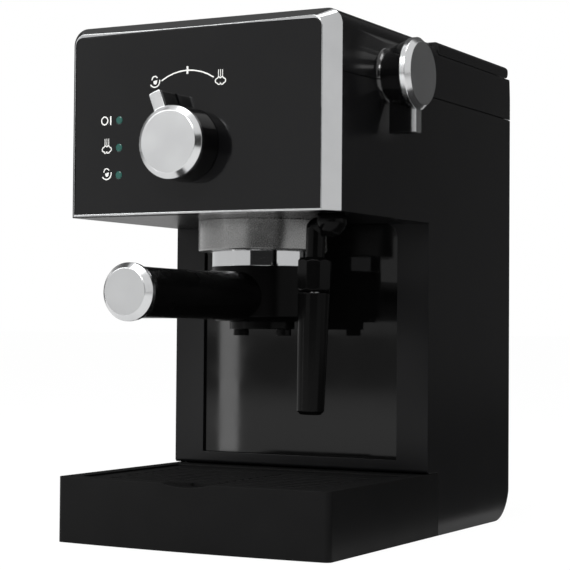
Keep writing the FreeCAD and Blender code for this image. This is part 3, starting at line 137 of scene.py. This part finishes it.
def brushed_metal(name, low, high, roughness, stretch):
    """Metal with fine brush lines along one way."""
    finish = Finish(name)
    lines = finish.noise(scale=900, detail=2, stretch=stretch)
    finish.set(Metallic=1.0, Base_Color=finish.blend(lines, low, high))
    finish.set(Roughness=roughness + 0.12 * lines)
    finish.set(Normal=finish.relief(lines, strength=0.12, depth=0.05 * MM, edge=0.4 * MM))
    return finish.material


def cast_metal():
    """Grey die-cast metal with a fine sandy skin."""
    finish = Finish("cast_grey")
    sand = finish.noise(scale=1800, detail=3)
    cloud = finish.noise(scale=60, detail=2)
    finish.set(Metallic=0.85, Base_Color=finish.blend(cloud, (0.19, 0.19, 0.19), (0.27, 0.27, 0.265)))
    finish.set(Roughness=0.2 + 0.12 * sand)
    finish.set(Normal=finish.relief(sand, strength=0.2, depth=0.08 * MM, edge=0.6 * MM))
    return finish.material


def soft_rubber():
    """Matt black rubber."""
    finish = Finish("black_rubber")
    fine = finish.noise(scale=1500, detail=3)
    finish.set(Base_Color=finish.blend(fine, (0.012, 0.012, 0.012), (0.024, 0.024, 0.023)))
    finish.set(Roughness=0.75 + 0.15 * fine)
    finish.set(Normal=finish.relief(fine, strength=0.2, depth=0.1 * MM, edge=0.6 * MM))
    return finish.material


def smoked_plastic():
    """Smoky see-through plastic of the water tank."""
    finish = Finish("smoked_tank")
    cloud = finish.noise(scale=30, detail=2)
    finish.set(Base_Color=finish.blend(cloud, (0.24, 0.26, 0.27), (0.3, 0.32, 0.33)))
    finish.set(Roughness=0.08 + 0.08 * cloud, Transmission_Weight=0.8, IOR=1.5)
    return finish.material


def lamp_lens():
    """Green lens of an unlit indicator light, with a faint painted glow that brightens it."""
    finish = Finish("green_lens")
    cloud = finish.noise(scale=900, detail=1)
    # painted glow: the lens is not lit, and this emission only stands in for the light it catches
    painted_glow = finish.blend(cloud, (0.0, 0.04, 0.03), (0.004, 0.07, 0.055))
    finish.set(Base_Color=finish.blend(cloud, (0.002, 0.03, 0.024), (0.005, 0.06, 0.048)))
    finish.set(Roughness=0.08 + 0.06 * cloud, Emission_Color=painted_glow, Emission_Strength=0.5)
    return finish.material


def circuit_board():
    """Green board with paler tracks."""
    finish = Finish("green_board")
    pattern = {"Vector": finish.place, "Scale": 160}
    tracks = finish.node("ShaderNodeTexVoronoi", {"distance": "MANHATTAN"}, pattern)
    finish.set(Base_Color=finish.blend(tracks, (0.02, 0.12, 0.05), (0.1, 0.3, 0.12)))
    finish.set(Roughness=0.35 + 0.2 * tracks)
    return finish.material


def print_ink():
    """Pale ink of the symbols on the panel."""
    finish = Finish("pale_ink")
    fine = finish.noise(scale=2500, detail=1)
    finish.set(Base_Color=finish.blend(fine, (0.62, 0.62, 0.6), (0.74, 0.74, 0.72)))
    finish.set(Roughness=0.5 + 0.1 * fine)
    return finish.material


# the steam knob's boss is all of the casing that stands out past this x
SIDE_BOSS = 87.6 * MM

SHELL = plastic("shell_black", (0.0035, 0.0035, 0.0038), (0.0055, 0.0055, 0.0058),
                roughness=0.24, grain=0.04, specular=0.14, edge=0.4 * MM, polished_from=SIDE_BOSS)
MATT = plastic("matt_black", (0.0035, 0.0035, 0.0036), (0.006, 0.006, 0.0061),
               roughness=0.46, grain=0.22, specular=0.06, edge=0.6 * MM)
DEEP = plastic("deep_black", (0.001, 0.001, 0.001), (0.0018, 0.0018, 0.0018),
               roughness=0.26, grain=0.04, specular=0.06, edge=0.9 * MM)
SLEEVE = plastic("sleeve_black", (0.0012, 0.0012, 0.0012), (0.002, 0.002, 0.002),
                 roughness=0.17, grain=0.05, specular=0.07, edge=0.7 * MM)
KNOB = plastic("knob_black", (0.002, 0.002, 0.0021), (0.003, 0.003, 0.0031),
               roughness=0.12, grain=0.0, specular=0.45, edge=0.7 * MM)
GLOSS = plastic("gloss_black", (0.0025, 0.0025, 0.0028), (0.0035, 0.0035, 0.0038),
                roughness=0.09, grain=0.0, specular=0.22, edge=0.6 * MM)
SPLASH = plastic("mirror_black", (0.002, 0.002, 0.002), (0.003, 0.003, 0.003),
                 roughness=0.05, grain=0.0, specular=0.21, edge=0.4 * MM)
CHROME = bright_metal("bright_chrome", (0.42, 0.425, 0.43), (0.49, 0.495, 0.5),
                      roughness=0.05, spread=0.05, edge=0.5 * MM)
CAP = bright_metal("cap_metal", (0.52, 0.525, 0.53), (0.6, 0.605, 0.61),
                   roughness=0.14, spread=0.08, edge=0.6 * MM)
STEEL = brushed_metal("brushed_steel", (0.5, 0.5, 0.5), (0.62, 0.62, 0.62),
                      roughness=0.2, stretch=(1, 1, 0.05))
BRASS = brushed_metal("drawn_brass", (0.5, 0.36, 0.14), (0.62, 0.46, 0.2),
                      roughness=0.22, stretch=(1, 1, 0.1))
COIL = bright_metal("coil_grey", (0.12, 0.12, 0.13), (0.18, 0.18, 0.19),
                    roughness=0.4, spread=0.1, edge=0.8 * MM)
CAST = cast_metal()
RUBBER = soft_rubber()
SMOKE = smoked_plastic()
LENS = lamp_lens()
BOARD = circuit_board()
INK = print_ink()

SLOT_FINISH = {
    "black_plastic": SHELL, "gloss_black": GLOSS, "chrome": CHROME, "grey_metal": CAST, "steel": STEEL,
    "brass": BRASS, "rubber": RUBBER, "clear_plastic": SMOKE, "lamp": LENS, "board": BOARD, "coil": COIL,
}
OWN_FINISH = {
    "drip_tray": MATT, "drip_grate": MATT, "back_panel": SPLASH,
    "froth_sleeve": SLEEVE, "wand_grip": SLEEVE, "wand_elbow": SLEEVE,
    "portafilter_handle": DEEP, "portafilter_body": DEEP, "twin_spout": DEEP,
    "selector_knob": KNOB, "steam_knob": KNOB,
    "selector_cap": CAP, "steam_knob_cap": CAP, "handle_end_cap": CAP,
}


def dress_nodes():
    """Give every CAD node the finish of its slot, or its own."""
    for part in frame["record"]["subparts"]:
        node = frame["nodes"][part["node"]]
        node.data.materials.clear()
        node.data.materials.append(OWN_FINISH.get(part["node"], SLOT_FINISH[part["material_slot"]]))


def mesh_object(name, bm, material):
    """Object in the scene, with the mesh that was built and one material."""
    mesh = bpy.data.meshes.new(name)
    bm.to_mesh(mesh)
    bm.free()
    mesh.materials.append(material)
    piece = bpy.data.objects.new(name, mesh)
    bpy.context.scene.collection.objects.link(piece)
    return piece


# printed symbols on the control panel; their places are in millimetres across and up

PANEL_FRONT = -129.6 * MM
BOW_RADIUS = 959.0 * MM
INK_LIFT = 0.06 * MM
INK_DEPTH = 0.04 * MM
MERGE_WITHIN = 0.001 * MM
DEGREES_PER_STEP = 8
FEWEST_STEPS = 6

DIAL_MIDDLE = (-2.3, 234.5)
DIAL_RADIUS = 32.0
DIAL_HALF_TURN = 32.0
DIAL_LINE = 0.75 * MM
TICK_BELOW = 2.0
TICK_ABOVE = 2.2
TICK_LINE = 1.2 * MM
CUP_SPOTS = ((-23.8, 261.0), (-56.6, 210.4))
CUP_LINE = 0.7 * MM
CURL_LINE = 0.65 * MM
STEAM_SPOTS = ((18.9, 259.5), (-56.6, 224.8))
CLOUD_LINE = 0.6 * MM
JET_LINE = 0.4 * MM
OFF_ON_SPOT = (-56.6, 241.2)
OFF_LINE = 0.7 * MM
ON_LINE = 0.9 * MM


def spot(x, z):
    """Step across and up the panel, from millimetres."""
    return Vector((x * MM, 0, z * MM))


def arc(bm, centre, radius, start, end, width):
    """Flat ring or part of one, from one angle to another, clockwise from upright."""
    turn = math.radians(start)
    outward = Vector((math.sin(turn), 0, math.cos(turn)))
    ends = [bm.verts.new(centre + reach * outward) for reach in (radius - width / 2, radius + width / 2)]
    edge = bm.edges.new(ends)
    sweep = end - start
    steps = max(FEWEST_STEPS, round(sweep / DEGREES_PER_STEP))
    bmesh.ops.spin(bm, geom=[*ends, edge], cent=centre, axis=(0, 1, 0), angle=math.radians(sweep),
                   steps=steps, use_merge=sweep >= 360)


def bar(bm, start, end, width):
    """Flat straight stroke between two points."""
    run = end - start
    turn = Matrix.Rotation(-math.atan2(run.z, run.x), 4, "Y") @ Matrix.Rotation(math.radians(90), 4, "X")
    place = Matrix.Translation((start + end) / 2) @ turn @ Matrix.Diagonal((run.length, width, 1, 1))
    bmesh.ops.create_grid(bm, x_segments=1, y_segments=1, size=0.5, matrix=place)


def dial(bm, middle):
    """Arc over the selector, with a tick at its top."""
    arc(bm, middle, DIAL_RADIUS * MM, -DIAL_HALF_TURN, DIAL_HALF_TURN, DIAL_LINE)
    low = middle + spot(0, DIAL_RADIUS - TICK_BELOW)
    bar(bm, low, middle + spot(0, DIAL_RADIUS + TICK_ABOVE), TICK_LINE)


def cup(bm, middle):
    """Small dot and stroke between a saucer's curve and a curl of steam."""
    arc(bm, middle + spot(0.3, -0.1), 0.55 * MM, 0, 360, 1.1 * MM)
    arc(bm, middle + spot(0, 0.6), 3.3 * MM, 78, 238, CUP_LINE)
    arc(bm, middle + spot(0, 1.5), 1.9 * MM, -95, 62, CURL_LINE)
    bar(bm, middle + spot(-0.9, 0.3), middle + spot(1.6, 0.9), CUP_LINE)


def steam(bm, middle):
    """Scalloped cloud with three jets rising from it."""
    arc(bm, middle + spot(-2.0, 0), 1.25 * MM, 180, 360, CLOUD_LINE)
    arc(bm, middle + spot(2.0, 0), 1.25 * MM, 0, 180, CLOUD_LINE)
    for x in (-1.0, 1.0):
        arc(bm, middle + spot(x, -1.15), 0.95 * MM, 80, 280, CLOUD_LINE)
        arc(bm, middle + spot(x, 1.1), 0.95 * MM, -90, 90, CLOUD_LINE)
    for x in (-1.3, 0, 1.3):
        bar(bm, middle + spot(x, 2.3), middle + spot(x, 6.2), JET_LINE)


def off_on(bm, middle):
    """Ring for off and bar for on."""
    arc(bm, middle + spot(-1.7, 0), 2.2 * MM, 0, 360, OFF_LINE)
    bar(bm, middle + spot(2.6, -2.5), middle + spot(2.6, 2.5), ON_LINE)


def lay_on_panel(bm):
    """Bend flat strokes to the bowed panel and give the ink its depth."""
    bmesh.ops.remove_doubles(bm, verts=bm.verts[:], dist=MERGE_WITHIN)
    for vert in bm.verts:
        vert.co.y = PANEL_FRONT + vert.co.x ** 2 / (2 * BOW_RADIUS) - INK_LIFT
    bm.normal_update()
    bmesh.ops.reverse_faces(bm, faces=[face for face in bm.faces if face.normal.y > 0])
    bmesh.ops.solidify(bm, geom=[*bm.verts, *bm.edges, *bm.faces], thickness=INK_DEPTH)
    bmesh.ops.recalc_face_normals(bm, faces=bm.faces[:])


def panel_print():
    """All the symbols, as one piece that rides on the base."""
    bm = bmesh.new()
    dial(bm, spot(*DIAL_MIDDLE))
    for place in CUP_SPOTS:
        cup(bm, spot(*place))
    for place in STEAM_SPOTS:
        steam(bm, spot(*place))
    off_on(bm, spot(*OFF_ON_SPOT))
    lay_on_panel(bm)
    piece = mesh_object("panel_print", bm, INK)
    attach(piece, "base")


# studio

SEEN_LEVEL = 1.0
FILL_LEVEL = 0.55
FLOOR_REACH = 30
FLOOR_GLOW = 1.02
FLOOR_GLOW_SHARE = 0.95
PAPER = (0.82, 0.82, 0.82, 1)
WHITE = (1, 1, 1, 1)
BLACK = (0, 0, 0, 1)
MIDDLE = (0, 0, 0.16)

# name, place, width, height, watts; all face the machine's middle
LAMPS = (
    ("key_box", (-1.3, -1.5, 1.3), 1.1, 1.1, 18),
    ("front_box", (0.25, -1.7, 1.35), 1.1, 0.45, 22),
    ("top_box", (0.1, -0.3, 1.7), 1.0, 0.8, 12),
)
# name, place, the point it faces, width, height, brightness
CARDS = (
    ("back_right_card", (1.0, 1.6, 0.4), MIDDLE, 2.2, 2.2, 0.11),
    ("floor_card", (0.68, 0.95, 0.003), (0.68, 0.95, 1.0), 1.15, 2.2, 0.05),
    ("back_left_card", (-1.2, 1.4, 0.35), MIDDLE, 1.1, 1.4, 0.05),
    ("overhead_card", (-0.6, 1.0, 1.5), MIDDLE, 2.4, 1.8, 0.11),
    ("camera_card", (0.75, -1.45, 0.3), MIDDLE, 1.6, 0.9, 0.03),
    ("strip_card", (-0.2995, -0.43, 0.086), (-0.05, 0, 0.086), 0.017, 0.15, 6.5),
)


def backdrop():
    """White surroundings for the camera and for reflections, softer light on the object."""
    world = bpy.data.worlds.new("studio")
    bpy.context.scene.world = world
    world.use_nodes = True
    nodes = world.node_tree.nodes
    links = world.node_tree.links
    rays = nodes.new("ShaderNodeLightPath")
    seen = rays.outputs["Is Camera Ray"]
    for kind in ("Is Glossy Ray", "Is Transmission Ray"):
        either = nodes.new("ShaderNodeMath")
        either.operation = "MAXIMUM"
        links.new(seen, either.inputs[0])
        links.new(rays.outputs[kind], either.inputs[1])
        seen = either.outputs[0]
    level = nodes.new("ShaderNodeMapRange")
    level.inputs["To Min"].default_value = FILL_LEVEL
    level.inputs["To Max"].default_value = SEEN_LEVEL
    links.new(seen, level.inputs["Value"])
    links.new(level.outputs[0], nodes["Background"].inputs["Strength"])
    nodes["Background"].inputs["Color"].default_value = WHITE


def floor():
    """Pale floor that keeps the object's shadow and fades into the white."""
    finish = Finish("pale_floor")
    rays = finish.node("ShaderNodeLightPath", output="Is Camera Ray")
    painted_glow = finish.node("ShaderNodeEmission", None, {"Color": WHITE, "Strength": FLOOR_GLOW})
    paper = finish.node("ShaderNodeBsdfDiffuse", None, {"Color": PAPER})
    mixed = finish.node("ShaderNodeMixShader", None, {0: FLOOR_GLOW_SHARE * rays, 1: paper, 2: painted_glow})
    finish.feed(finish.tree.nodes["Material Output"].inputs["Surface"], mixed)
    bm = bmesh.new()
    bmesh.ops.create_grid(bm, x_segments=1, y_segments=1, size=FLOOR_REACH)
    ground = mesh_object("floor", bm, finish.material)


def facing(place, target):
    """Attitude of a lamp or card at a place that faces a target."""
    away = Vector(place) - Vector(target)
    return Matrix.Translation(place) @ away.to_track_quat("Z", "Y").to_matrix().to_4x4()


def softbox(name, place, width, height, power):
    """Large soft lamp."""
    lamp = bpy.data.lights.new(name, "AREA")
    lamp.shape = "RECTANGLE"
    lamp.size = width
    lamp.size_y = height
    lamp.energy = power
    box = bpy.data.objects.new(name, lamp)
    box.matrix_world = facing(place, MIDDLE)
    bpy.context.scene.collection.objects.link(box)


def card(name, place, target, width, height, level):
    """Card of an even tone that only reflections see."""
    finish = Finish(name)
    finish.set(Base_Color=BLACK, Roughness=1.0, Specular_IOR_Level=0.0)
    finish.set(Emission_Color=WHITE, Emission_Strength=level)
    bm = bmesh.new()
    outline = Matrix.Diagonal((width, height, 1, 1))
    bmesh.ops.create_grid(bm, x_segments=1, y_segments=1, size=0.5, matrix=outline)
    sheet = mesh_object(name, bm, finish.material)
    sheet.matrix_world = facing(place, target)
    sheet.visible_camera = False
    sheet.visible_diffuse = False
    sheet.visible_transmission = False
    sheet.visible_shadow = False


def studio():
    """Soft lamps and toned cards round the machine."""
    for lamp in LAMPS:
        softbox(*lamp)
    for sheet in CARDS:
        card(*sheet)


FOCAL_PIXELS = 1749.0
FRAME_PIXELS = 570
SENSOR = 36.0
PICTURE_MIDDLE = (282.4, 273.4)
CAMERA_PLACE = (504.06 * MM, -953.69 * MM, 124.28 * MM)
CAMERA_YAW = math.radians(28.396)
CAMERA_PITCH = math.radians(-1.775)
CAMERA_ROLL = math.radians(0.452)
NEAREST_SEEN = 10 * MM


def camera():
    """Camera at the photograph's place and angle."""
    data = bpy.data.cameras.new("photo_camera")
    data.sensor_width = SENSOR
    data.lens = FOCAL_PIXELS * SENSOR / FRAME_PIXELS
    data.shift_x = (FRAME_PIXELS / 2 - PICTURE_MIDDLE[0]) / FRAME_PIXELS
    data.shift_y = (PICTURE_MIDDLE[1] - FRAME_PIXELS / 2) / FRAME_PIXELS
    data.clip_start = NEAREST_SEEN
    turn = Matrix.Rotation(CAMERA_YAW, 4, "Z") @ Matrix.Rotation(math.radians(90) - CAMERA_PITCH, 4, "X")
    view = bpy.data.objects.new("photo_camera", data)
    view.matrix_world = Matrix.Translation(CAMERA_PLACE) @ turn @ Matrix.Rotation(CAMERA_ROLL, 4, "Z")
    bpy.context.scene.collection.objects.link(view)
    bpy.context.scene.camera = view


dress_nodes()
panel_print()
backdrop()
floor()
studio()
camera()
bpy.context.scene.view_settings.view_transform = "Standard"
